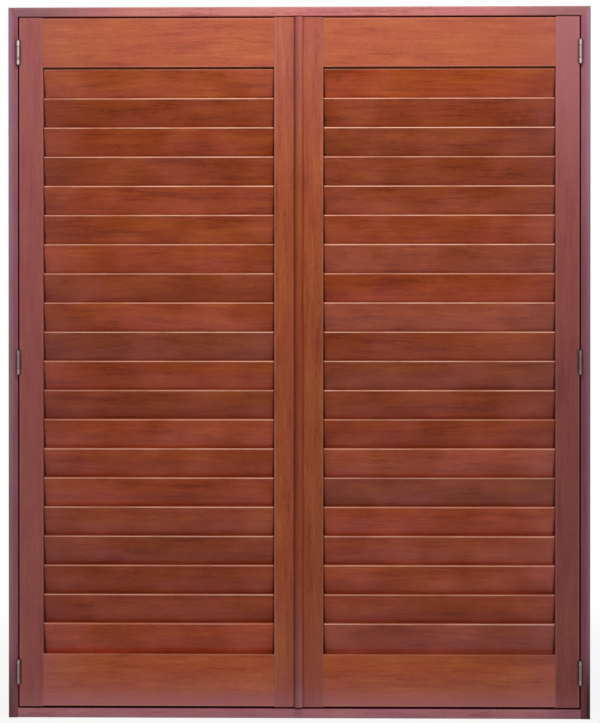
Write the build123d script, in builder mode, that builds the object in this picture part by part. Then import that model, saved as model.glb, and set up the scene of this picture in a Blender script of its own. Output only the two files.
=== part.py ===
from build123d import *
import math
import os

# A pair of louvred timber shutters hung on butt hinges in a rebated frame.
# Millimetres. X runs to the right, Z up and Y away from the knuckle side, so the leaves
# open towards -Y. The origin is the middle of the sill's underside.

# Frame
frame_width = 1200.0
frame_height = 1467.0
frame_depth = 60.0
frame_face = 19.5
stop_width = 12.0
frame_round = 2.5

# Running gaps round the closed leaves
side_gap = 3.0
meeting_gap = 3.0
top_gap = 2.0
bottom_gap = 3.5
stop_gap = 1.0

# Leaf stiles and rails
leaf_thickness = 36.0
stile_width = 49.0
top_rail_height = 101.3
bottom_rail_height = 108.3
rail_setback = 1.5
leaf_arris = 1.0
tenon_length = 26.0
tenon_thickness = 12.0
tenon_shoulder = 15.0
tenon_fit = 0.15

# Louvres and the housings that hold their ends
louvre_count = 20
louvre_thickness = 8.5
louvre_tilt_deg = 17.5
louvre_arris = 1.2
louvre_wall = 3.5
louvre_top_gap = 1.4
louvre_foot_gap = 3.5
louvre_tail_clearance = 3.0
louvre_end_gap = 2.0
louvre_end_rebate = 4.0
housing_depth = 9.0
housing_fit = 0.15

# Cover bead on the right leaf
bead_width = 17.0
bead_projection = 8.0
bead_round = 6.0
bead_relief = 0.6

# Butt hinges
hinge_height = 51.0
hinge_margin = 46.5
plate_thickness = 1.8
plate_width = 24.0
middle_knuckle_share = 0.52
knuckle_end_gap = 0.25
knuckle_swing_gap = 0.3
pin_radius = 1.6
pin_fit = 0.05
gain_fit = 0.1

# Fixing holes through the jambs
fixing_hole_radius = 4.0
fixing_margin = 250.0

# Places worked out from the sizes above
half_width = frame_width / 2
front_y = -frame_depth / 2
rebate_depth = leaf_thickness + stop_gap
stop_middle_y = (front_y + rebate_depth + frame_depth / 2) / 2

leaf_bottom = frame_face + bottom_gap
leaf_top = frame_height - frame_face - top_gap
leaf_height = leaf_top - leaf_bottom
leaf_middle_y = front_y + leaf_thickness / 2
leaf_hinge_edge = half_width - frame_face - side_gap
leaf_meeting_edge = meeting_gap / 2

field_outer = leaf_hinge_edge - stile_width
field_inner = leaf_meeting_edge + stile_width
field_width = field_outer - field_inner
rail_top = leaf_top - rail_setback
rail_bottom = leaf_bottom + rail_setback
field_top = rail_top - top_rail_height
field_bottom = rail_bottom + bottom_rail_height

tilt = math.radians(louvre_tilt_deg)
louvre_depth = leaf_thickness - 2 * louvre_wall
louvre_width = (louvre_depth - louvre_thickness * math.cos(tilt)) / math.sin(tilt)
louvre_rise = louvre_width * math.cos(tilt) + louvre_thickness * math.sin(tilt)
louvre_stack = field_top - field_bottom - louvre_top_gap - louvre_foot_gap
louvre_pitch = louvre_stack / louvre_count
louvre_first_z = field_top - louvre_top_gap - louvre_rise / 2
louvre_levels = [louvre_first_z - louvre_pitch * step for step in range(louvre_count)]

# The ends of a louvre are rebated at the front. The tongue left at the back enters the housing,
# and a shadow gap shows between the stile and the full thickness.
tongue_length = housing_depth - housing_fit
tongue_thickness = louvre_thickness - louvre_end_rebate
tongue_y = leaf_middle_y + louvre_end_rebate / 2 * math.cos(tilt)
tongue_rise = louvre_end_rebate / 2 * math.sin(tilt)
louvre_length = field_width + 2 * tongue_length

# The bottom rail's upper edge falls to the back, under the tail of the lowest louvre.
tail_depth = (leaf_thickness + louvre_width * math.sin(tilt) - louvre_thickness * math.cos(tilt)) / 2
tail_drop = louvre_rise - louvre_pitch - louvre_foot_gap
bottom_rail_fall = (tail_drop + louvre_tail_clearance) / tail_depth * leaf_thickness

top_tenon_height = top_rail_height - 2 * tenon_shoulder
top_tenon_z = field_top + top_rail_height / 2
bottom_tenon_height = bottom_rail_height - bottom_rail_fall - 2 * tenon_shoulder
bottom_tenon_z = rail_bottom + tenon_shoulder + bottom_tenon_height / 2

knuckle_radius = side_gap / 2 + plate_thickness
hinge_x = half_width - frame_face - side_gap / 2
hinge_y = front_y - knuckle_radius
hinge_low = leaf_bottom + hinge_margin + hinge_height / 2
hinge_high = leaf_top - hinge_margin - hinge_height / 2
hinge_levels = [hinge_low, (leaf_bottom + leaf_top) / 2, hinge_high]

LEFT = -1
RIGHT = 1
SIDES = {"left": LEFT, "right": RIGHT}

os.makedirs("parts", exist_ok=True)


def save(piece, label):
    """Label a finished piece and write it to its own file."""
    piece.part.label = label
    export_step(piece.part, f"parts/{label}.step")


def frame_member(start, inward, run, length, start_mitred=False, end_mitred=False):
    """A length of the rebated section, run from a point on its outer face."""
    with BuildPart() as member:
        with BuildSketch(Plane(origin=start, x_dir=inward, z_dir=run)) as section:
            with BuildLine():
                Polyline(
                    (0, front_y),
                    (frame_face, front_y),
                    (frame_face, front_y + rebate_depth),
                    (frame_face + stop_width, front_y + rebate_depth),
                    (frame_face + stop_width, frame_depth / 2),
                    (0, frame_depth / 2),
                    close=True,
                )
            make_face()
            front_corners = section.vertices().group_by(Axis.Y)[0]
            fillet(front_corners, frame_round)
        extrude(amount=length)
        if start_mitred:
            split(bisect_by=Plane(origin=start, z_dir=Vector(run) - Vector(inward)), keep=Keep.TOP)
        if end_mitred:
            end = Vector(start) + Vector(run) * length
            split(bisect_by=Plane(origin=end, z_dir=-Vector(run) - Vector(inward)), keep=Keep.TOP)
    return member


def hinge_gains(edge_x, into):
    """The shallow pockets, open to the front, that let the hinge plates into a timber edge."""
    depth = plate_thickness + gain_fit
    length = plate_width + gain_fit
    with BuildPart() as gains:
        with BuildSketch(Plane.YZ.offset(edge_x)):
            with Locations(*[(hinge_y + length / 2, level) for level in hinge_levels]):
                Rectangle(length, hinge_height + 2 * gain_fit)
        extrude(amount=into * depth)
    return gains


# The head is mitred to the jambs. They run down past the sill, whose ends are scribed to them.
TOP_LEFT = (-half_width, 0, frame_height)
TOP_RIGHT = (half_width, 0, frame_height)
head = frame_member(TOP_LEFT, (0, 0, -1), (1, 0, 0), frame_width, start_mitred=True, end_mitred=True)
save(head, "head")
jamb_lengths = {
    "left": frame_member((-half_width, 0, 0), (1, 0, 0), (0, 0, 1), frame_height, end_mitred=True),
    "right": frame_member(TOP_RIGHT, (-1, 0, 0), (0, 0, -1), frame_height, start_mitred=True),
}
sill_end = (half_width - frame_face, 0, 0)
sill_length = frame_member(sill_end, (0, 0, 1), (-1, 0, 0), frame_width - 2 * frame_face)
with BuildPart() as sill:
    add(sill_length.part)
    for jamb_length in jamb_lengths.values():
        add(jamb_length.part, mode=Mode.SUBTRACT)
save(sill, "sill")

# Each jamb takes the fixed hinge plates on its rebate face, and fixing holes behind the leaf.
for side_name, side in SIDES.items():
    jamb_gains = hinge_gains(side * (half_width - frame_face), side)
    with BuildPart() as jamb:
        add(jamb_lengths[side_name].part)
        add(jamb_gains.part, mode=Mode.SUBTRACT)
        for level in (fixing_margin, frame_height - fixing_margin):
            with Locations(Plane((side * half_width, stop_middle_y, level), z_dir=(side, 0, 0))):
                Hole(fixing_hole_radius)
    save(jamb, f"{side_name}_jamb")


def stile(outer_x, inner_x, into):
    """A full-height stile, its ends just proud of the rails, with housings and mortises inside."""
    with BuildPart() as post:
        with BuildSketch(Plane.XY.offset(leaf_bottom)):
            with Locations(((outer_x + inner_x) / 2, leaf_middle_y)):
                Rectangle(stile_width, leaf_thickness)
        extrude(amount=leaf_height)
        chamfer(post.edges(), leaf_arris)
        with BuildSketch(Plane.YZ.offset(inner_x)):
            with Locations(*[(tongue_y, level + tongue_rise) for level in louvre_levels]):
                Rectangle(
                    tongue_thickness + 2 * housing_fit,
                    louvre_width + 2 * housing_fit,
                    rotation=louvre_tilt_deg,
                )
        extrude(amount=into * housing_depth, mode=Mode.SUBTRACT)
        with BuildSketch(Plane.YZ.offset(inner_x)):
            with Locations((leaf_middle_y, top_tenon_z)):
                Rectangle(tenon_thickness + 2 * tenon_fit, top_tenon_height + 2 * tenon_fit)
            with Locations((leaf_middle_y, bottom_tenon_z)):
                Rectangle(tenon_thickness + 2 * tenon_fit, bottom_tenon_height + 2 * tenon_fit)
        extrude(amount=into * (tenon_length + tenon_fit), mode=Mode.SUBTRACT)
    return post


def rail(low_x, low_z, front_top, back_top, tenon_z, tenon_height):
    """A rail between the stiles, with a tenon running through it and out at both ends."""
    with BuildPart() as bar:
        with BuildSketch(Plane.YZ.offset(low_x)) as section:
            with BuildLine():
                Polyline(
                    (front_y, low_z),
                    (front_y + leaf_thickness, low_z),
                    (front_y + leaf_thickness, back_top),
                    (front_y, front_top),
                    close=True,
                )
            make_face()
            chamfer(section.vertices(), leaf_arris)
        extrude(amount=field_width)
        with BuildSketch(Plane.YZ.offset(low_x - tenon_length)):
            with Locations((leaf_middle_y, tenon_z)):
                Rectangle(tenon_thickness, tenon_height)
        extrude(amount=field_width + 2 * tenon_length)
    return bar


def louvre(low_x, level):
    """One tilted slat with an eased nose and a tongue at each end."""
    slope = Plane(
        origin=(low_x - tongue_length, leaf_middle_y, level),
        x_dir=(0, math.cos(tilt), math.sin(tilt)),
        z_dir=(1, 0, 0),
    )
    rebate_length = tongue_length + louvre_end_gap
    with BuildPart() as slat:
        with BuildSketch(slope) as section:
            Rectangle(louvre_thickness, louvre_width)
            nose_corners = section.vertices().group_by(Axis.Y)[-1]
            chamfer(nose_corners, louvre_arris)
        extrude(amount=louvre_length)
        for rebate_start in (0, louvre_length - rebate_length):
            with BuildSketch(slope.offset(rebate_start)):
                with Locations((-tongue_thickness / 2, 0)):
                    Rectangle(louvre_end_rebate, louvre_width)
            extrude(amount=rebate_length, mode=Mode.SUBTRACT)
    return slat


# The two leaves are mirror images; the right one also carries the cover bead.
for side_name, side in SIDES.items():
    plain_stile = stile(side * leaf_hinge_edge, side * field_outer, side)
    stile_gains = hinge_gains(side * leaf_hinge_edge, -side)
    with BuildPart() as hinge_stile:
        add(plain_stile.part)
        add(stile_gains.part, mode=Mode.SUBTRACT)
    save(hinge_stile, f"{side_name}_hinge_stile")
    meeting_stile = stile(side * leaf_meeting_edge, side * field_inner, -side)
    save(meeting_stile, f"{side_name}_meeting_stile")

    field_low_x = min(side * field_inner, side * field_outer)
    top_rail = rail(field_low_x, field_top, rail_top, rail_top, top_tenon_z, top_tenon_height)
    save(top_rail, f"{side_name}_top_rail")
    back_top = field_bottom - bottom_rail_fall
    bottom_rail = rail(
        field_low_x, rail_bottom, field_bottom, back_top, bottom_tenon_z, bottom_tenon_height
    )
    save(bottom_rail, f"{side_name}_bottom_rail")
    for number, level in enumerate(louvre_levels, start=1):
        save(louvre(field_low_x, level), f"{side_name}_louvre_{number:02d}")

# The bead is seated on the right meeting stile. Its back is relieved where it laps the left one.
bead_face_y = front_y - bead_projection
relief_y = front_y - bead_relief
with BuildPart() as cover_bead:
    with BuildSketch(Plane.XY.offset(leaf_bottom)) as bead_section:
        with BuildLine():
            Polyline(
                (bead_width / 2, front_y),
                (leaf_meeting_edge, front_y),
                (leaf_meeting_edge, relief_y),
                (-bead_width / 2, relief_y),
                (-bead_width / 2, bead_face_y),
                (bead_width / 2, bead_face_y),
                close=True,
            )
        make_face()
        fillet(bead_section.vertices().group_by(Axis.Y)[0], bead_round)
    extrude(amount=leaf_height)
save(cover_bead, "cover_bead")


def hinge_leaf(plate_side, knuckles, clear_spans):
    """One hinge leaf about a pin on the Z axis: its plate is rolled round the pin at each knuckle
    and cut back beside the knuckles of the other leaf."""
    inner = plate_side * side_gap / 2
    outer = plate_side * knuckle_radius
    roll_y = math.sqrt(knuckle_radius**2 - inner**2)
    notch_y = knuckle_radius + knuckle_swing_gap
    with BuildPart() as leaf:
        for low, high in knuckles:
            with BuildSketch(Plane.XY.offset(low)):
                with BuildLine():
                    Polyline((outer, 0), (outer, plate_width), (inner, plate_width), (inner, roll_y))
                    ThreePointArc((inner, roll_y), (-outer, 0), (outer, 0))
                make_face()
            extrude(amount=high - low)
        for low, high in clear_spans:
            with BuildSketch(Plane.XY.offset(low)):
                with Locations(((inner + outer) / 2, (notch_y + plate_width) / 2)):
                    Rectangle(plate_thickness, plate_width - notch_y)
            extrude(amount=high - low)
        Hole(pin_radius + pin_fit)
    return leaf


# Three knuckles: the long middle one turns with the shutter, the two ends stay with the jamb.
hinge_end = hinge_height / 2
middle_end = hinge_height * middle_knuckle_share / 2
fixed_start = middle_end + knuckle_end_gap / 2
moving_end = middle_end - knuckle_end_gap / 2
fixed_knuckles = [(-hinge_end, -fixed_start), (fixed_start, hinge_end)]
fixed_clear = [(-fixed_start, fixed_start)]
moving_knuckles = [(-moving_end, moving_end)]
moving_clear = [(-hinge_end, -moving_end), (moving_end, hinge_end)]
fixed_leaves = {side: hinge_leaf(side, fixed_knuckles, fixed_clear) for side in SIDES.values()}
moving_leaves = {side: hinge_leaf(-side, moving_knuckles, moving_clear) for side in SIDES.values()}


def hinge_places(side):
    """The three pin centres on one side of the frame."""
    return [(side * hinge_x, hinge_y, level) for level in hinge_levels]


with BuildPart() as frame_hinge_leaves:
    for side in SIDES.values():
        with Locations(*hinge_places(side)):
            add(fixed_leaves[side].part)
save(frame_hinge_leaves, "frame_hinge_leaves")

for side_name, side in SIDES.items():
    with BuildPart() as leaf_hinge_leaves:
        with Locations(*hinge_places(side)):
            add(moving_leaves[side].part)
    save(leaf_hinge_leaves, f"{side_name}_leaf_hinge_leaves")

with BuildPart() as hinge_pins:
    with Locations(*hinge_places(LEFT), *hinge_places(RIGHT)):
        Cylinder(pin_radius, hinge_height)
save(hinge_pins, "hinge_pins")
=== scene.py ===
import math
from collections import namedtuple

import bpy
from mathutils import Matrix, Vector


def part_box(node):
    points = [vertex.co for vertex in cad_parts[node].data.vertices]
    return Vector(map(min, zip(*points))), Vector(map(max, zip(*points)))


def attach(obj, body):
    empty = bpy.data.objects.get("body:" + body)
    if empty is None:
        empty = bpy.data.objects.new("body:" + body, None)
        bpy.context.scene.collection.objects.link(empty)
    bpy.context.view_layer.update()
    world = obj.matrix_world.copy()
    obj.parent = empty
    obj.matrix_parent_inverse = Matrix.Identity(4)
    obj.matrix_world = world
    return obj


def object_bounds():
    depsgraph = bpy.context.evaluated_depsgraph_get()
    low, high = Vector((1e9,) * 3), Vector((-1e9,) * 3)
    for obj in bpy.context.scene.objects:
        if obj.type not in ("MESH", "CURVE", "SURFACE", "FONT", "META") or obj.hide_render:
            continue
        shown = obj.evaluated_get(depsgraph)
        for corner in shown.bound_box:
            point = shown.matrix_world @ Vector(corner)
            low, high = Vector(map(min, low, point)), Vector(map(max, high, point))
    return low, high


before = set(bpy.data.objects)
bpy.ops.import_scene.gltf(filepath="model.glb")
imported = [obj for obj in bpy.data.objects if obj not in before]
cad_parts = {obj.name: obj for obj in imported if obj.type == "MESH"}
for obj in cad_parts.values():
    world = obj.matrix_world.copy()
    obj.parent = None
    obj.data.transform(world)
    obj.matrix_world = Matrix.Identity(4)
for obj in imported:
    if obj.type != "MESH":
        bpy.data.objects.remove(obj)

# Louvred timber shutters in their frame: stained hardwood, dull plated hinges and their screws.
# Metres. X runs to the right, Z up and Y away from the knuckle side.

cad_low, cad_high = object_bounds()

# Louvres: a place on one is known by the board it belongs to and by how far across the board it is.
LOUVRE_COUNT = 20
LOUVRE_TILT = math.radians(17.5)
LOUVRE_HALF_WIDTH = 0.03474
first_low, first_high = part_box("left_louvre_01")
last_low, last_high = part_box(f"left_louvre_{LOUVRE_COUNT:02d}")
FIRST_LOUVRE = (first_low + first_high) / 2
LAST_LOUVRE = (last_low + last_high) / 2
LOUVRE_PITCH = (FIRST_LOUVRE.z - LAST_LOUVRE.z) / (LOUVRE_COUNT - 1)
LOUVRE_STEP = LOUVRE_PITCH * math.sin(LOUVRE_TILT)

# Leaves: the opening that the louvres fill, the bead between the leaves, and the leaves' height.
OPENING_OUTER = abs(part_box("left_hinge_stile")[1].x)
OPENING_INNER = abs(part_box("left_meeting_stile")[0].x)
OPENING_MIDDLE = (OPENING_OUTER + OPENING_INNER) / 2
OPENING_HALF = (OPENING_OUTER - OPENING_INNER) / 2
BEAD_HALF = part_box("cover_bead")[1].x
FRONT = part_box("head")[0].y
leaf_low, leaf_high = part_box("left_hinge_stile")
LEAF_MIDDLE = (leaf_low.z + leaf_high.z) / 2
LEAF_HALF = (leaf_high.z - leaf_low.z) / 2

# Hinges: the plates lie on both sides of the gap that the pins stand in front of. The seams between
# the knuckles and the screws are as far from a hinge's middle as their levels say.
HINGE_HEIGHT = 0.051
HINGE_GAP = 0.003
PLATE_MIDDLE = 0.0138
SEAM_LEVEL = 0.0133
SCREW_LEVEL = 0.015
PIN_RADIUS = 0.0016
pins_low, pins_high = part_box("hinge_pins")
PIN_X = pins_high.x - PIN_RADIUS
PIN_Y = (pins_low.y + pins_high.y) / 2
LOW_HINGE = pins_low.z + HINGE_HEIGHT / 2
HIGH_HINGE = pins_high.z - HINGE_HEIGHT / 2
HINGE_LEVELS = (LOW_HINGE, (LOW_HINGE + HIGH_HINGE) / 2, HIGH_HINGE)


def srgb(red, green, blue):
    """A colour written as it shows on a screen, 0 to 255, in the linear form that shaders take."""
    shares = (value / 255 for value in (red, green, blue))
    linear = (c / 12.92 if c <= 0.04045 else ((c + 0.055) / 1.055) ** 2.4 for c in shares)
    return (*linear, 1.0)


WHITE = srgb(255, 255, 255)


class Value:
    """A shader socket that works in sums: each operator adds one Math node."""

    def __init__(self, shader, socket):
        self.shader = shader
        self.socket = socket

    def math(self, operation, first, second=0.0):
        return self.shader.node("ShaderNodeMath", {"operation": operation}, {0: first, 1: second})

    def __add__(self, other):
        return self.math("ADD", self, other)

    def __radd__(self, other):
        return self.math("ADD", other, self)

    def __sub__(self, other):
        return self.math("SUBTRACT", self, other)

    def __rsub__(self, other):
        return self.math("SUBTRACT", other, self)

    def __mul__(self, other):
        return self.math("MULTIPLY", self, other)

    def __rmul__(self, other):
        return self.math("MULTIPLY", other, self)

    def __truediv__(self, other):
        return self.math("DIVIDE", self, other)

    def __abs__(self):
        return self.math("ABSOLUTE", self)

    def __floor__(self):
        return self.math("FLOOR", self)

    def sign(self):
        return self.math("SIGN", self)


class Shader:
    """The node tree of a material or of the world. node() adds a node and gives back one output."""

    def __init__(self, owner):
        owner.use_nodes = True
        self.tree = owner.node_tree
        self.tree.nodes.clear()

    def node(self, kind, settings=None, sockets=None, output=0):
        made = self.tree.nodes.new(kind)
        for key, value in (settings or {}).items():
            setattr(made, key, value)
        for key, value in (sockets or {}).items():
            if isinstance(value, Value):
                self.tree.links.new(value.socket, made.inputs[key])
            else:
                made.inputs[key].default_value = value
        return Value(self, made.outputs[output]) if made.outputs else None

    def place(self):
        """The three Object coordinates, in metres."""
        point = self.node("ShaderNodeTexCoord", output="Object")
        return [self.node("ShaderNodeSeparateXYZ", {}, {0: point}, axis) for axis in "XYZ"]

    def noise(self, point, detail=2.0, roughness=0.5):
        """Noise about 0.5, at a point given as three values."""
        vector = self.node("ShaderNodeCombineXYZ", {}, dict(enumerate(point)))
        sockets = {"Vector": vector, "Scale": 1.0, "Detail": detail, "Roughness": roughness}
        return self.node("ShaderNodeTexNoise", {}, sockets)

    def ramp(self, value, low, high, start=0.0, end=1.0):
        """A smooth step: start where value is low, end where it is high."""
        settings = {"interpolation_type": "SMOOTHSTEP"}
        return self.node("ShaderNodeMapRange", settings, {0: value, 1: low, 2: high, 3: start, 4: end})

    def blend(self, factor, first, second, mode="MIX"):
        """Two colours mixed by a factor."""
        settings = {"data_type": "RGBA", "blend_type": mode}
        return self.node("ShaderNodeMix", settings, {0: factor, 6: first, 7: second}, 2)

    def scaled(self, colour, level):
        """A colour made lighter or darker by a value."""
        grey = self.node("ShaderNodeCombineColor", {}, {0: level, 1: level, 2: level})
        return self.blend(1.0, colour, grey, "MULTIPLY")

    def matt(self, colour):
        """A surface with no gloss at all."""
        sockets = {"Base Color": colour, "Roughness": 1.0, "Specular IOR Level": 0.0}
        return self.node("ShaderNodeBsdfPrincipled", {}, sockets)

    def seen_directly(self):
        """1 for what the camera sees, also in gloss or through glass, and 0 for what only gives light."""
        names = ("Is Camera Ray", "Is Glossy Ray", "Is Transmission Ray")
        camera, gloss, glass = (self.node("ShaderNodeLightPath", output=name) for name in names)
        settings = {"operation": "ADD", "use_clamp": True}
        return self.node("ShaderNodeMath", settings, {0: camera + gloss, 1: glass})


# Timber colours. A stain's light and dark tones are shares of its middle one.
# This dark colour darkens pores, and is also painted shade beside the bead, at the louvres' ends and on
# the nose under the top rail.
GRIME_AND_SHADE = srgb(60, 20, 12)
# Painted shadow beside the hinge knuckles.
HINGE_SHADOW_TONE = srgb(66, 42, 44)
BLOOM = srgb(174, 112, 120)
# Painted highlight on the louvres' noses and along the arrises.
PAINTED_HIGHLIGHT = srgb(244, 194, 172)
MAUVE = srgb(140, 112, 134)
# Painted reflection along the jambs' outer edges.
PALE_EDGE = srgb(172, 138, 168)
# Painted red tint on the shaded faces in the gaps round the leaves.
GAP_RED = srgb(190, 56, 50)
# Painted warm tint in the shade just above each louvre nose.
WARM_TAIL = srgb(255, 233, 220)
RED_CAST = srgb(255, 228, 250)
BROWN_CAST = srgb(255, 255, 220)
BOARD_CAST = srgb(255, 236, 226)
LIGHT_SHARES = (1.23, 1.43, 1.48, 1.0)
DARK_SHARES = (0.68, 0.57, 0.57, 1.0)


def tones_about(red, green, blue):
    """A light, a middle and a dark tone of one stain, from the middle one."""
    middle = srgb(red, green, blue)
    light = tuple(c * share for c, share in zip(middle, LIGHT_SHARES))
    dark = tuple(c * share for c, share in zip(middle, DARK_SHARES))
    return light, middle, dark


# Grain: how many times a metre each kind of mark repeats, along its run and across it.
SWAY_RATES = (4.0, 7.0)
FIGURE_RATES = (6.0, 58.0)
STREAK_RATES = (15.0, 270.0)
FLECK_RATES = (70.0, 380.0)
CLOUD_RATES = (9.0, 16.0)
VEIN_RATES = (9.0, 160.0)
PORE_RATES = (90.0, 1300.0)


def grain(shader, run, across, through, sway_depth):
    """Figure, streaks, flecks, clouds, veins and pores about a point in metres, each about 0.5. The
    directions are the grain's run, the way across the face and the way through. The grain sways to
    the side by up to the depth given."""

    def marks(rates, side, detail=2.0, roughness=0.5):
        along, sideways = rates
        return shader.noise((run * along, side * sideways, through * sideways), detail, roughness)

    bent = across + sway_depth * marks(SWAY_RATES, across)
    figure = marks(FIGURE_RATES, bent, detail=3.0, roughness=0.6)
    streaks = marks(STREAK_RATES, bent, detail=3.0, roughness=0.6)
    flecks = marks(FLECK_RATES, bent, roughness=0.6)
    clouds = marks(CLOUD_RATES, across)
    veins = marks(VEIN_RATES, bent, roughness=0.6)
    pores = marks(PORE_RATES, bent)
    return figure, streaks, flecks, clouds, veins, pores


# From here on a range says where a change begins and where it is complete and, if they aren't 0 and 1,
# its values there.
SIDES_BLOOM = (0.40, 0.62)
FOOT_BLOOM = (0.11, 0.01)


def bloom(shader, x, z):
    """0 in the middle of the pair, up to 1 towards its sides and its foot, where it is pale and pink."""
    sides = shader.ramp(abs(x), *SIDES_BLOOM)
    foot = shader.ramp(z, *FOOT_BLOOM)
    return 1.0 - (1.0 - sides) * (1.0 - foot)


# The surface: each mark's share of the tone, where the tone turns lighter, and how strong the rest is.
FIGURE_SHARE = 0.36
STREAK_SHARE = 0.27
FLECK_SHARE = 0.21
CLOUD_SHARE = 0.16
EVEN_TONE = 0.5
DARK_TO_MIDDLE = (0.42, 0.5)
MIDDLE_TO_LIGHT = (0.5, 0.585)
RED_TO_BROWN = (0.32, 0.68)
CAST_STRENGTH = 0.45
VEINS_SHOW = (0.6, 0.76)
VEIN_STRENGTH = 0.5
PORES_SHOW = (0.58, 0.72)
PORE_STRENGTH = 0.4
STREAK_HEIGHT = 0.6
PORE_DEPTH = 0.5
SATIN_ROUGHNESS = 0.38
STREAK_ROUGHNESS = 0.16
PORE_ROUGHNESS = 0.12
BARE_SHADE = 0.6


def timber_surface(material, shader, parts, tones, boldness, faded, wear_and_light, unfinished_and_shaded):
    """Stained hardwood with a thin satin finish, from its grain, three tones and how boldly the grain
    shows. The colour then gets wear and painted light and shade to suit the piece. Where the last
    value is 1 there is no finish and the colour is darker, as painted shade."""
    figure, streaks, flecks, clouds, veins, pores = parts
    light, middle, dark = tones
    tone = FIGURE_SHARE * figure + STREAK_SHARE * streaks + FLECK_SHARE * flecks + CLOUD_SHARE * clouds
    tone = EVEN_TONE + boldness * (tone - EVEN_TONE)
    colour = shader.blend(shader.ramp(tone, *DARK_TO_MIDDLE), dark, middle)
    colour = shader.blend(shader.ramp(tone, *MIDDLE_TO_LIGHT), colour, light)
    cast = shader.blend(shader.ramp(clouds, *RED_TO_BROWN), RED_CAST, BROWN_CAST)
    colour = shader.blend(CAST_STRENGTH, colour, cast, "MULTIPLY")
    colour = shader.blend(shader.ramp(veins, *VEINS_SHOW) * (VEIN_STRENGTH * boldness), colour, dark)
    pore_mask = shader.ramp(pores, *PORES_SHOW)
    colour = shader.blend(pore_mask * PORE_STRENGTH, colour, GRIME_AND_SHADE)
    colour = wear_and_light(shader.blend(faded, colour, BLOOM))
    height = STREAK_HEIGHT * streaks - PORE_DEPTH * pore_mask
    normal = shader.node("ShaderNodeBump", {}, {"Strength": 0.2, "Distance": 0.0005, "Height": height})
    sockets = {
        "Base Color": colour,
        "Roughness": SATIN_ROUGHNESS + STREAK_ROUGHNESS * streaks + PORE_ROUGHNESS * pore_mask,
        "Specular IOR Level": 0.12,
        "Normal": normal,
    }
    satin = shader.node("ShaderNodeBsdfPrincipled", {}, sockets)
    # Without a finish the colour is darker, as painted shade.
    dull = shader.matt(shader.scaled(colour, BARE_SHADE))
    surface = shader.node("ShaderNodeMixShader", {}, {0: unfinished_and_shaded, 1: satin, 2: dull})
    shader.node("ShaderNodeOutputMaterial", {}, {"Surface": surface})
    return material


def from_hinge_middle(z):
    """The distance up or down to the middle of the nearest hinge."""
    spacing = HINGE_LEVELS[1] - HINGE_LEVELS[0]
    rise = (z - HINGE_LEVELS[0]) / spacing
    return abs(rise - math.floor(rise + 0.5)) * spacing


def behind_front(*depths):
    """Places in Y, from their depths behind the frame's front."""
    return tuple(FRONT + depth for depth in depths)


FRONT_FACE = behind_front(0.006, 0.003)


def at_front(shader, y):
    """1 on the face that the leaves and the frame share at the front, and 0 behind it."""
    return shader.ramp(y, *FRONT_FACE)


def by_side(shader, x, turn, left=0.0, right=1.0):
    """One value on the left and another on the right, with a smooth turn about the middle."""
    return shader.ramp(x, -turn, turn, left, right)


# What has happened to single pieces, painted light and shade among it. Each of these functions takes
# a colour and gives back another.
def as_it_is(shader, colour, x, y, z):
    return colour


BESIDE_KNUCKLE = (0.0076, 0.0042)
ALONG_KNUCKLE = (0.029, 0.023, 0.0, 0.7)


def hinge_shadow(shader, colour, x, y, z):
    """Painted shadow beside the knuckles."""
    beside = shader.ramp(abs(abs(x) - PIN_X), *BESIDE_KNUCKLE) * at_front(shader, y)
    along = shader.ramp(from_hinge_middle(z), *ALONG_KNUCKLE)
    return shader.blend(beside * along, colour, HINGE_SHADOW_TONE)


LEAF_TURN = 0.1
JAMB_EDGE = (cad_high.x - 0.014, cad_high.x)
JAMB_EDGE_RISE = (0.3, 1.1, 0.38, 0.6)
JAMB_FOOT = (0.17, 0.03)
JAMB_FOOT_EDGE = (cad_high.x - 0.016, cad_high.x - 0.003, 0.3, 1.0)
JAMB_FOOT_FRONT = (*behind_front(0.02, 0.0), 0.3, 1.0)
LEFT_FOOT_DARK = 0.62
RIGHT_FOOT_DARK = 0.95
HALF_WAY_UP = 0.82
HALF_WAY_DARK = (0.36, 0.05, 0.0, 0.2)


def frame_edge(shader, colour, x, y, z):
    """The outer edge of a jamb is pale and grey, a painted reflection that grows stronger up the jamb, and
    its foot is dark at the front, more so at the right. The right jamb is dark half way up too. Painted
    shadow lies beside the knuckles."""
    pale = shader.ramp(abs(x), *JAMB_EDGE) * shader.ramp(z, *JAMB_EDGE_RISE)
    colour = shader.blend(pale, colour, PALE_EDGE)
    foot = shader.ramp(z, *JAMB_FOOT) * by_side(shader, x, LEAF_TURN, LEFT_FOOT_DARK, RIGHT_FOOT_DARK)
    corner = shader.ramp(abs(x), *JAMB_FOOT_EDGE) * foot * shader.ramp(y, *JAMB_FOOT_FRONT)
    half_way = shader.ramp(abs(z - HALF_WAY_UP), *HALF_WAY_DARK) * by_side(shader, x, LEAF_TURN)
    return hinge_shadow(shader, shader.blend(corner + half_way, colour, GRIME_AND_SHADE), x, y, z)


SILL_LOWER_EDGE = (0.008, 0.002, 0.0, 0.4)
SILL_RIGHT_END = (0.48, 0.56, 1.0, 0.74)


def sill_edges(shader, colour, x, y, z):
    """The sill is greyer along its lower edge and darker at its right end."""
    colour = shader.blend(shader.ramp(z, *SILL_LOWER_EDGE), colour, MAUVE)
    return shader.scaled(colour, shader.ramp(x, *SILL_RIGHT_END))


HEAD_ENDS = (0.34, 0.57)
HEAD_TURN = 0.3
LEFT_END_GREY = 1.0
RIGHT_END_GREY = 0.7
END_GREY_STRENGTH = 0.42
HEAD_LIGHT = 1.12
END_DARKENING = 0.36
HEAD_UPPER_EDGE = (cad_high.z - 0.006, cad_high.z, 0.0, 0.3)


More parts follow.
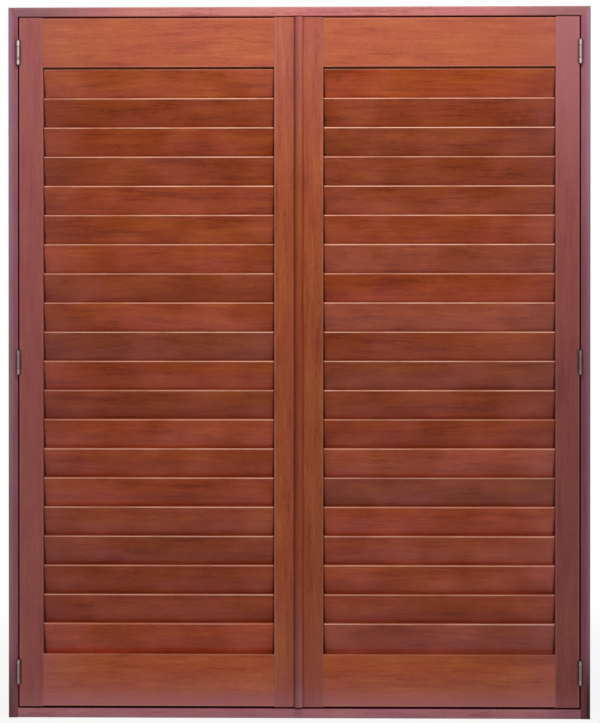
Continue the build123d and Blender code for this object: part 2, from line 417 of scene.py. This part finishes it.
def head_ends(shader, colour, x, y, z):
    """Painted sheen: the head is lighter in the middle and darker towards its ends, where it is as grey
    as the jambs, more so at the left. It is grey along its upper edge too."""
    ends = shader.ramp(abs(x), *HEAD_ENDS) * by_side(shader, x, HEAD_TURN, LEFT_END_GREY, RIGHT_END_GREY)
    colour = shader.blend(ends * END_GREY_STRENGTH, colour, MAUVE)
    colour = shader.scaled(colour, HEAD_LIGHT - END_DARKENING * ends)
    return shader.blend(shader.ramp(z, *HEAD_UPPER_EDGE), colour, MAUVE)


BEAD_TURN = 0.01
PAINTED_BEAD_SHADOW = (BEAD_HALF + 0.0034, BEAD_HALF + 0.0010)
LEFT_BEAD_SHADOW = 0.6
RIGHT_BEAD_SHADOW = 0.25
BEAD_SHADES = (-BEAD_HALF, 0.7 * BEAD_HALF, 0.72, 1.12)


def bead_shadow(shader, colour, x, y, z):
    """Painted shadow beside the bead, stronger on the left."""
    beside = shader.ramp(abs(x), *PAINTED_BEAD_SHADOW) * at_front(shader, y)
    strength = by_side(shader, x, BEAD_TURN, LEFT_BEAD_SHADOW, RIGHT_BEAD_SHADOW)
    return shader.blend(beside * strength, colour, GRIME_AND_SHADE)


def bead_flank(shader, colour, x, y, z):
    """Painted light and shade: the bead is darker on its left flank and lighter on its right."""
    return shader.scaled(colour, shader.ramp(x, *BEAD_SHADES))


RAIL_OUTER_END = (0.22, 0.42)
RAIL_UPPER_EDGE = (0.10, 0.135)
OUTER_DARKENING = 0.06
UPPER_DARKENING = 0.16


def dark_corner(shader, colour, x, y, z):
    """Painted shade: the right bottom rail is darker towards its outer end, most of all along its upper
    edge.
    """
    outer = shader.ramp(x, *RAIL_OUTER_END)
    upper = shader.ramp(z, *RAIL_UPPER_EDGE)
    return shader.scaled(colour, 1.0 - outer * (OUTER_DARKENING + UPPER_DARKENING * upper))


GAP_BESIDE = (0.0034, 0.0024)
GAP_BESIDE_ENDS = (0.0064, 0.0044)
GAP_ABOVE = (0.0044, 0.0034)
GAP_ABOVE_ENDS = (0.0054, 0.0034)
GAP_FRONT = behind_front(0.002, 0.005)
GAP_BACK = behind_front(0.034, 0.028)
GAP_RED_STRENGTH = 0.6


def red_in_gaps(shader, colour, x, y, z):
    """Painted shade colour: the faces in the gaps round the leaves are tinted red."""
    aside = abs(x) - PIN_X
    above = abs(z - LEAF_MIDDLE) - LEAF_HALF
    beside_leaf = shader.ramp(abs(aside), *GAP_BESIDE) * shader.ramp(above, *GAP_BESIDE_ENDS)
    above_leaf = shader.ramp(abs(above), *GAP_ABOVE) * shader.ramp(aside, *GAP_ABOVE_ENDS)
    inside = shader.ramp(y, *GAP_FRONT) * shader.ramp(y, *GAP_BACK)
    either = 1.0 - (1.0 - beside_leaf) * (1.0 - above_leaf)
    return shader.blend(either * inside * GAP_RED_STRENGTH, colour, GAP_RED)


# Straight pieces. Each takes its own stretch of grain, some steps away from the others.
FRAME_PIECES = ("head", "sill", "left_jamb", "right_jamb")
RUNS_ACROSS = ("head", "sill", "left_top_rail", "right_top_rail", "left_bottom_rail", "right_bottom_rail")
STRAIGHT_BOLDNESS = 0.62
STRAIGHT_SWAY = 0.01
RUN_STEP = 3.7
ACROSS_STEP = 0.61
THROUGH_STEP = 0.23
SHADED_FOOT = (0.45, 1.3)
ARRIS_START = 0.0045
ARRIS_FULL = 0.001
HIGH_UP = (1.0, 1.47)
LOW_DOWN = (0.36, 0.06)
SKIRT = (0.062, 0.03)
SKIRT_FADE = 0.28
UNDERSIDE_START = 0.0006
UNDERSIDE_FULL = 0.0002


def timber(node, run_axis, seed, looks):
    """Timber for one straight piece, its grain along the named axis. Its shade changes towards the
    foot, its long arrises carry a painted highlight, and its underside has no finish and is darker, as
    painted shade."""
    material = bpy.data.materials.new(f"{node}_timber")
    shader = Shader(material)
    x, y, z = shader.place()
    low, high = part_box(node)
    if run_axis == "X":
        run, across, first_edge, second_edge = x, z, low.z, high.z
    else:
        run, across, first_edge, second_edge = z, x, low.x, high.x
    middle = (first_edge + second_edge) / 2
    half = (second_edge - first_edge) / 2
    here = (run + seed * RUN_STEP, across + seed * ACROSS_STEP, y + seed * THROUGH_STEP)
    parts = grain(shader, *here, STRAIGHT_SWAY)

    def weathered_and_lit(colour):
        colour = shader.scaled(colour, shader.ramp(z, *SHADED_FOOT, looks.foot_shade, 1.0))
        from_middle = abs(across - middle)
        # Painted highlight along the long arrises.
        arris = shader.ramp(from_middle, half - ARRIS_START, half - ARRIS_FULL, 0.0, looks.arris_wear)
        colour = looks.detail(shader, shader.blend(arris, colour, PAINTED_HIGHLIGHT), x, y, z)
        return red_in_gaps(shader, colour, x, y, z)

    high_up = shader.ramp(z, *HIGH_UP, 0.0, looks.top_fade)
    low_down = shader.ramp(z, *LOW_DOWN, 0.0, looks.foot_fade)
    skirt = shader.ramp(z, *SKIRT, 0.0, 0.0 if node in FRAME_PIECES else SKIRT_FADE)
    faded = bloom(shader, x, z) * looks.side_fade + high_up + low_down + skirt
    underside = shader.ramp(z, low.z + UNDERSIDE_START, low.z + UNDERSIDE_FULL)
    return timber_surface(
        material, shader, parts, looks.tones, STRAIGHT_BOLDNESS, faded, weathered_and_lit, underside
    )


# Louvres. Chance gives each board its own hue, shade and stretch of grain. The way across a board counts
# from its middle up to the nose and down to the tail, and the way through it is negative at the front.
LOUVRE_TONES = tones_about(162, 78, 33)
LOUVRE_BOLDNESS = 0.75
BOARD_SEED = 43263.0
LEAF_KEY = 57.0
BOARD_RUN = 19.0
BOARD_ACROSS_STEP = 0.137
BOARD_THROUGH_STEP = 0.071
LEAST_SWAY = 0.012
SWAY_SPREAD = 0.05
DARKEST_BOARD = 0.82
SHADE_SPREAD = 0.36
PATCH_RATES = (9.0, 12.0)
PATCH_STEP = 2.3
PATCH_SHADES = (0.3, 0.7, 0.87, 1.1)
PATCH_FADE = (0.35, 0.7, 0.0, 0.12)
NOSE = (LOUVRE_HALF_WIDTH - 0.0016, LOUVRE_HALF_WIDTH - 0.0006)
NOSE_FRONT = (-0.0004, -0.0022)
NOSE_BACK = (-0.0034, -0.0018)
# Painted highlight along the louvres' noses, uneven, and weaker under the top rail.
NOSE_GLINT_RATE = 9.0
NOSE_GLINT_STEP = 3.1
NOSE_GLINT_PATCHES = (0.3, 0.6, 0.5, 1.0)
NOSE_BY_HEIGHT = (0.5, 1.15, 0.8, 1.0)
NOSE_BY_SIDE = (-0.55, -0.15, 0.76, 1.0)
LEAST_NOSE_GLINT = 0.45
NOSE_GLINT_SPREAD = 0.55
GLINT_LOST_UNDER_RAIL = 0.5
FIRST_BOARD = (-0.7, -0.3)
LOW_BOARDS = (0.9, 0.45)
# Painted light on the shaded tail of each louvre, and a warm tint in the shade just above the next nose.
TAIL_LIGHT = (-0.008, -0.024, 1.0, 1.22)
TAIL_WARM = (-0.014, -0.024)
TAIL_FADE = (0.022, -0.016, 0.0, 0.13)
TAIL_KEPT = (-0.017, -0.024)
# Painted shade at the louvres' ends beside the stiles, deeper towards the tail.
END_SHADE = (0.0055, 0.0025)
END_SHADE_BY_WIDTH = (0.026, -0.02, 0.1, 0.8)
LOUVRE_BLOOM = 0.3
HUE_FADE = 0.14
LOWER_FADE = (1.15, 0.2, 0.0, 0.08)
FADE_BY_HEIGHT = (1.25, 0.55, 0.3, 1.0)


def louvre_timber():
    """Timber for all the louvres: every board has its own tone and its own stretch of grain."""
    material = bpy.data.materials.new("louvre_timber")
    shader = Shader(material)
    x, y, z = shader.place()
    sine, cosine = math.sin(LOUVRE_TILT), math.cos(LOUVRE_TILT)
    back = y - FIRST_LOUVRE.y
    rise = z - FIRST_LOUVRE.z
    order = (back * cosine + rise * sine) / LOUVRE_STEP
    board = math.floor(order + 0.5)
    through = (order - board) * LOUVRE_STEP
    across = (rise - board * LOUVRE_PITCH) * cosine - back * sine
    key = board + LEAF_KEY * x.sign()
    drawn = {"W": key + BOARD_SEED}
    chance = shader.node("ShaderNodeTexWhiteNoise", {"noise_dimensions": "1D"}, drawn, "Color")
    hue, shade, slide = (shader.node("ShaderNodeSeparateColor", {}, {0: chance}, k) for k in range(3))
    run = x + slide * BOARD_RUN
    here = (run, across + key * BOARD_ACROSS_STEP, through + key * BOARD_THROUGH_STEP)
    parts = grain(shader, *here, LEAST_SWAY + SWAY_SPREAD * hue)
    nose = shader.ramp(across, *NOSE)
    under_rail = shader.ramp(board, *FIRST_BOARD)
    # Painted shade on the nose under the top rail: darker, and without a finish.
    covered_nose = nose * under_rail * shader.ramp(through, *NOSE_BACK)
    low_down = shader.ramp(z, *LOW_BOARDS)
    along, sideways = PATCH_RATES
    patch_point = (run * along, across * sideways + key * PATCH_STEP, through * sideways)
    patches = shader.noise(patch_point)

    def nose_highlight(colour):
        """Painted highlight along the front of the nose, uneven, stronger on the upper boards and to the
        right.
        """
        nose_glint_point = (x * NOSE_GLINT_RATE, key * NOSE_GLINT_STEP, 0.0)
        nose_glint = shader.noise(nose_glint_point, detail=3.0, roughness=0.6)
        lit = shader.ramp(z, *NOSE_BY_HEIGHT) * shader.ramp(x, *NOSE_BY_SIDE)
        lit = lit * (LEAST_NOSE_GLINT + NOSE_GLINT_SPREAD * slide) * (1.0 - GLINT_LOST_UNDER_RAIL * under_rail)
        front = nose * shader.ramp(through, *NOSE_FRONT)
        return shader.blend(front * shader.ramp(nose_glint, *NOSE_GLINT_PATCHES) * lit, colour, PAINTED_HIGHLIGHT)

    def weathered_and_lit(colour):
        """Board by board, then a painted highlight on the nose, painted light on the shaded tail with a
        warm tint in its shade, and painted shade at both ends and on the nose that lies under the top
        rail."""
        colour = shader.blend(1.0, colour, shader.blend(hue, BOARD_CAST, WHITE), "MULTIPLY")
        colour = shader.scaled(colour, DARKEST_BOARD + SHADE_SPREAD * shade)
        colour = nose_highlight(shader.scaled(colour, shader.ramp(patches, *PATCH_SHADES)))
        colour = shader.scaled(colour, shader.ramp(across, *TAIL_LIGHT))
        warm = shader.ramp(across, *TAIL_WARM) * low_down
        colour = shader.blend(warm, colour, WARM_TAIL, "MULTIPLY")
        from_end = OPENING_HALF - abs(abs(x) - OPENING_MIDDLE)
        ends = shader.ramp(from_end, *END_SHADE) * shader.ramp(across, *END_SHADE_BY_WIDTH)
        return shader.blend(ends + covered_nose, colour, GRIME_AND_SHADE)

    tail = shader.ramp(across, *TAIL_FADE) * (1.0 - low_down * shader.ramp(across, *TAIL_KEPT))
    by_height = shader.ramp(z, *FADE_BY_HEIGHT)
    overall = LOUVRE_BLOOM * bloom(shader, x, z) + shader.ramp(z, *LOWER_FADE)
    by_board = (HUE_FADE * hue * hue + tail) * by_height
    faded = overall + by_board + shader.ramp(patches, *PATCH_FADE)
    return timber_surface(
        material, shader, parts, LOUVRE_TONES, LOUVRE_BOLDNESS, faded, weathered_and_lit, covered_nose
    )


# Plating: a painted highlight where a knuckle stands out, with painted shade at its tips and dull seams.
BRUSH_RATES = (60.0, 900.0)
GLINT_PATCH_RATES = (80.0, 120.0)
KNUCKLE_RIDGE = (0.0036, 0.0018)
KNUCKLE_FRONT = (PIN_Y + 0.0042, PIN_Y + 0.0034)
KNUCKLE_TIPS = (0.0256, 0.0222, 0.2, 1.0)
KNUCKLE_SEAMS = (0.0005, 0.0014, 0.45, 1.0)
OUTER_KNUCKLES = (SEAM_LEVEL - 0.001, SEAM_LEVEL + 0.001, 0.7, 1.0)
LEFT_SHINE = 1.04
RIGHT_LOSS = 0.2
HALF_WAY_LOSS = 0.3
HALF_WAY_HINGE = (0.3, 0.1)
GLINT_PATCH_SHINE = (0.25, 0.5, 0.6, 1.0)
SHINE_BY_HEIGHT = (0.8, 1.3, 0.38, 1.0)
PLATING_ROUGHNESS = 0.34
BRUSH_ROUGHNESS = 0.2


def plated(name, bright, dull):
    """Plated steel: brushed along its length, with a patchy painted highlight where a knuckle stands out,
    left out at the knuckles' tips as painted shade and at their seams, and weaker on the middle
    knuckle. The painted highlight is weaker on the lower and the right hinges, and weakest on the
    right hinge half way up."""
    material = bpy.data.materials.new(name)
    shader = Shader(material)
    x, y, z = shader.place()
    brushed, glint_patches = (
        shader.noise((x * sideways, y * sideways, z * along), detail=3.0)
        for along, sideways in (BRUSH_RATES, GLINT_PATCH_RATES)
    )
    ridge = shader.ramp(abs(abs(x) - PIN_X), *KNUCKLE_RIDGE)
    from_middle = from_hinge_middle(z)
    tips = shader.ramp(from_middle, *KNUCKLE_TIPS)
    seams = shader.ramp(abs(from_middle - SEAM_LEVEL), *KNUCKLE_SEAMS)
    knuckle = shader.ramp(y, *KNUCKLE_FRONT)
    outer = shader.ramp(from_middle, *OUTER_KNUCKLES)
    half_way = shader.ramp(abs(z - HINGE_LEVELS[1]), *HALF_WAY_HINGE)
    side = LEFT_SHINE - by_side(shader, x, LEAF_TURN) * (RIGHT_LOSS + HALF_WAY_LOSS * half_way)
    # Painted highlight strength: patchy, weaker lower down and on the right.
    wear_and_light = shader.ramp(glint_patches, *GLINT_PATCH_SHINE) * shader.ramp(z, *SHINE_BY_HEIGHT) * side
    shine = ridge * wear_and_light * (1.0 - knuckle * (1.0 - tips * seams * outer))
    sockets = {
        "Base Color": shader.blend(shine, dull, bright),
        "Metallic": 1.0,
        "Roughness": PLATING_ROUGHNESS + BRUSH_ROUGHNESS * brushed,
    }
    surface = shader.node("ShaderNodeBsdfPrincipled", {}, sockets)
    shader.node("ShaderNodeOutputMaterial", {}, {"Surface": surface})
    return material


# The straight pieces' looks: their tones, how far their sides, top and foot have faded, the foot's
# shade, how strong the painted highlight on the arrises is, and what else has happened to them,
# painted light and shade among it.
HEAD_TONES = tones_about(184, 116, 112)
SILL_TONES = tones_about(186, 124, 138)
JAMB_TONES = tones_about(155, 94, 110)
HINGE_STILE_TONES = tones_about(159, 81, 71)
LEAF_TONES = tones_about(168, 87, 53)
BEAD_TONES = tones_about(163, 78, 45)
TOP_RAIL_TONES = tones_about(178, 92, 56)
Looks = namedtuple("Looks", "tones side_fade top_fade foot_fade foot_shade arris_wear detail")
PIECE_LOOKS = {
    "head": Looks(HEAD_TONES, 0.1, 0.09, 0.0, 1.0, 0.1, head_ends),
    "sill": Looks(SILL_TONES, 0.2, 0.0, 0.0, 1.0, 0.3, sill_edges),
    "left_jamb": Looks(JAMB_TONES, 0.2, 0.0, 0.0, 0.86, 0.0, frame_edge),
    "right_jamb": Looks(JAMB_TONES, 0.2, 0.0, 0.0, 0.62, 0.0, frame_edge),
    "left_hinge_stile": Looks(HINGE_STILE_TONES, 0.38, 0.1, 0.0, 0.9, 0.07, hinge_shadow),
    "right_hinge_stile": Looks(HINGE_STILE_TONES, 0.28, 0.58, 0.0, 0.7, 0.07, hinge_shadow),
    "left_meeting_stile": Looks(LEAF_TONES, 0.3, 0.25, 0.17, 0.92, 0.12, bead_shadow),
    "right_meeting_stile": Looks(LEAF_TONES, 0.3, 0.22, 0.14, 0.84, 0.08, bead_shadow),
    "cover_bead": Looks(BEAD_TONES, 0.5, 0.36, 0.46, 0.84, 0.0, bead_flank),
    "left_top_rail": Looks(TOP_RAIL_TONES, 0.2, 0.12, 0.0, 1.0, 0.1, as_it_is),
    "right_top_rail": Looks(TOP_RAIL_TONES, 0.2, 0.12, 0.0, 1.0, 0.1, as_it_is),
    "left_bottom_rail": Looks(LEAF_TONES, 0.5, 0.0, 0.0, 1.12, 0.12, as_it_is),
    "right_bottom_rail": Looks(LEAF_TONES, 0.42, 0.0, 0.0, 1.1, 0.12, dark_corner),
}


def dress(node, material):
    """Give a CAD piece its finish."""
    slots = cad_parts[node].data.materials
    slots.clear()
    slots.append(material)


for seed, (node, looks) in enumerate(PIECE_LOOKS.items(), start=1):
    run_axis = "X" if node in RUNS_ACROSS else "Z"
    dress(node, timber(node, run_axis, seed, looks))

louvre_finish = louvre_timber()
hinge_finish = plated("dull_plating", bright=srgb(208, 190, 184), dull=srgb(78, 62, 64))
screw_finish = plated("screw_plating", bright=srgb(176, 168, 160), dull=srgb(120, 110, 104))
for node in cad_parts:
    if "louvre" in node:
        dress(node, louvre_finish)
    elif "hinge_leaves" in node or node == "hinge_pins":
        dress(node, hinge_finish)


# Hinge screws: a cross-recessed head on each point of a mesh, facing the way that the point says.
SCREW_SIDES = 28
SCREW_SIZES = {
    "Head Radius": 0.0036,
    "Top Radius": 0.0025,
    "Head Height": 0.0005,
    "Recess Length": 0.0034,
    "Recess Width": 0.0008,
    "Seed": 11,
}


def screw_tree(material):
    """A Geometry Nodes tree that puts a screw head on every point, each turned by chance."""
    tree = bpy.data.node_groups.new("hinge_screws", "GeometryNodeTree")
    tree.interface.new_socket("Points", in_out="INPUT", socket_type="NodeSocketGeometry")
    for name, value in SCREW_SIZES.items():
        kind = "NodeSocketInt" if isinstance(value, int) else "NodeSocketFloat"
        tree.interface.new_socket(name, in_out="INPUT", socket_type=kind)
    tree.interface.new_socket("Screws", in_out="OUTPUT", socket_type="NodeSocketGeometry")

    def node(kind, settings=None, sockets=None):
        made = tree.nodes.new(kind)
        for key, value in (settings or {}).items():
            setattr(made, key, value)
        for key, value in (sockets or {}).items():
            if isinstance(value, bpy.types.NodeSocket):
                tree.links.new(value, made.inputs[key])
            else:
                made.inputs[key].default_value = value
        return made

    sizes = node("NodeGroupInput").outputs
    round_head = {
        "Vertices": SCREW_SIDES,
        "Radius Top": sizes["Top Radius"],
        "Radius Bottom": sizes["Head Radius"],
        "Depth": sizes["Head Height"],
    }
    head = node("GeometryNodeMeshCone", {}, round_head)
    bars = []
    for first, second in (("Recess Length", "Recess Width"), ("Recess Width", "Recess Length")):
        lengths = {0: sizes[first], 1: sizes[second], 2: sizes["Head Height"]}
        size = node("ShaderNodeCombineXYZ", {}, lengths)
        bar = node("GeometryNodeMeshCube", {}, {"Size": size.outputs[0]})
        lift = node("ShaderNodeCombineXYZ", {}, {2: sizes["Head Height"]})
        placing = {"Geometry": bar.outputs[0], "Translation": lift.outputs[0]}
        raised = node("GeometryNodeTransform", {}, placing)
        bars.append(raised.outputs[0])
    cut = node("GeometryNodeMeshBoolean", {"operation": "DIFFERENCE"}, {"Mesh 1": head.outputs[0]})
    for bar in bars:
        tree.links.new(bar, cut.inputs["Mesh 2"])

    facing = node("GeometryNodeInputNamedAttribute", {"data_type": "FLOAT_VECTOR"}, {"Name": "facing"})
    aligned = node("FunctionNodeAlignRotationToVector", {"axis": "Z"}, {"Vector": facing.outputs[0]})
    turn = node("FunctionNodeRandomValue", {"data_type": "FLOAT"}, {"Seed": sizes["Seed"]})
    angle = node("ShaderNodeMath", {"operation": "MULTIPLY"}, {0: turn.outputs[1], 1: math.pi})
    about = node("FunctionNodeAxisAngleToRotation", {}, {"Axis": (0, 0, 1), "Angle": angle.outputs[0]})
    spin = {"Rotation": aligned.outputs[0], "Rotate By": about.outputs[0]}
    turned = node("FunctionNodeRotateRotation", {"rotation_space": "LOCAL"}, spin)
    copies = {"Points": sizes["Points"], "Instance": cut.outputs[0], "Rotation": turned.outputs[0]}
    placed = node("GeometryNodeInstanceOnPoints", {}, copies)
    real = node("GeometryNodeRealizeInstances", {}, {0: placed.outputs[0]})
    finished = node("GeometryNodeSetMaterial", {}, {"Geometry": real.outputs[0], "Material": material})
    node("NodeGroupOutput", {}, {"Screws": finished.outputs[0]})
    return tree


def add_screws(name, body, tree, plates):
    """Two screw heads on every plate, as one mesh that moves with a body. A plate is known by its
    outer face's X and by the way that the face looks along X."""
    places = [
        ((face_x, PIN_Y + PLATE_MIDDLE, level + offset), (way, 0.0, 0.0))
        for face_x, way in plates
        for level in HINGE_LEVELS
        for offset in (-SCREW_LEVEL, SCREW_LEVEL)
    ]
    points = bpy.data.meshes.new(name)
    points.from_pydata([centre for centre, facing in places], [], [])
    ways = points.attributes.new("facing", "FLOAT_VECTOR", "POINT")
    for item, (centre, facing) in zip(ways.data, places):
        item.vector = facing
    screws = bpy.data.objects.new(name, points)
    bpy.context.scene.collection.objects.link(screws)
    modifier = screws.modifiers.new("screws", "NODES")
    modifier.node_group = tree
    for socket in tree.interface.items_tree:
        if socket.name in SCREW_SIZES:
            modifier[socket.identifier] = SCREW_SIZES[socket.name]
    evaluated = screws.evaluated_get(bpy.context.evaluated_depsgraph_get())
    solid = bpy.data.meshes.new_from_object(evaluated)
    screws.modifiers.clear()
    screws.data = solid
    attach(screws, body)


screw_heads = screw_tree(screw_finish)
frame_face_x = PIN_X + HINGE_GAP / 2
leaf_face_x = PIN_X - HINGE_GAP / 2
add_screws("frame_hinge_screws", "frame", screw_heads, [(-frame_face_x, 1.0), (frame_face_x, -1.0)])
add_screws("left_leaf_hinge_screws", "left_leaf", screw_heads, [(-leaf_face_x, -1.0)])
add_screws("right_leaf_hinge_screws", "right_leaf", screw_heads, [(leaf_face_x, 1.0)])


# Stage: a pale floor, a white ground, a soft lamp above the front and a weak one below it. How white
# the floor shows goes by the square of the distance from the object.
FLOOR_HALF = 9.0
SPECKLE_RATE = 40.0
FLOOR_WHITENESS = (0.4, 6.0, 0.88, 1.0)
SOFT_LIGHT = 0.36


def make_floor():
    bpy.ops.mesh.primitive_plane_add(size=2 * FLOOR_HALF, location=(0, 0, 0))
    floor = bpy.context.object
    floor.name = "floor"
    material = bpy.data.materials.new("pale_floor")
    shader = Shader(material)
    x, y, z = shader.place()
    speckle = shader.noise((x * SPECKLE_RATE, y * SPECKLE_RATE, z), detail=3.0)
    pale = shader.matt(shader.blend(speckle, srgb(238, 237, 235), srgb(246, 245, 243)))
    white = shader.node("ShaderNodeEmission", {}, {"Color": WHITE, "Strength": 1.0})
    far = shader.ramp(x * x + y * y, *FLOOR_WHITENESS)
    ground = shader.node("ShaderNodeMixShader", {}, {0: shader.seen_directly() * far, 1: pale, 2: white})
    shader.node("ShaderNodeOutputMaterial", {}, {"Surface": ground})
    floor.data.materials.append(material)


def make_world():
    world = bpy.data.worlds.new("white_ground")
    bpy.context.scene.world = world
    shader = Shader(world)
    soft_sockets = {"Color": srgb(255, 253, 250), "Strength": SOFT_LIGHT}
    soft = shader.node("ShaderNodeBackground", {}, soft_sockets)
    white = shader.node("ShaderNodeBackground", {}, {"Color": WHITE, "Strength": 1.0})
    mixed = shader.node("ShaderNodeMixShader", {}, {0: shader.seen_directly(), 1: soft, 2: white})
    shader.node("ShaderNodeOutputWorld", {}, {"Surface": mixed})


def turned_towards(place, aim):
    """The turn that points a lamp or a camera from its place to its aim."""
    return (Vector(aim) - Vector(place)).to_track_quat("-Z", "Y").to_euler()


def make_lamp(name, place, aim, width, height, power, colour):
    data = bpy.data.lights.new(name, "AREA")
    data.shape = "RECTANGLE"
    data.size = width
    data.size_y = height
    data.energy = power
    data.color = colour[:3]
    lamp = bpy.data.objects.new(name, data)
    lamp.location = place
    lamp.rotation_euler = turned_towards(place, aim)
    bpy.context.scene.collection.objects.link(lamp)


def make_camera(place, aim, lens):
    """The photograph's view: a long lens, nearly square on, a little to the right of the middle."""
    data = bpy.data.cameras.new("camera")
    data.lens = lens
    data.sensor_width = 36.0
    camera = bpy.data.objects.new("camera", data)
    camera.location = place
    camera.rotation_euler = turned_towards(place, aim)
    bpy.context.scene.collection.objects.link(camera)
    bpy.context.scene.camera = camera


make_floor()
make_world()
make_lamp(
    "key", place=(0.08, -0.88, 2.25), aim=(0.0, 0.0, 1.0),
    width=1.0, height=0.5, power=16.0, colour=srgb(255, 250, 244),
)
make_lamp(
    "fill", place=(0.0, -2.4, 0.35), aim=(0.0, 0.0, 0.6),
    width=1.6, height=0.5, power=5.0, colour=srgb(255, 248, 240),
)
make_camera(place=(0.110, -5.0, 0.766), aim=(0.0028, cad_low.y, 0.7362), lens=120.1)
bpy.context.scene.view_settings.view_transform = "Standard"
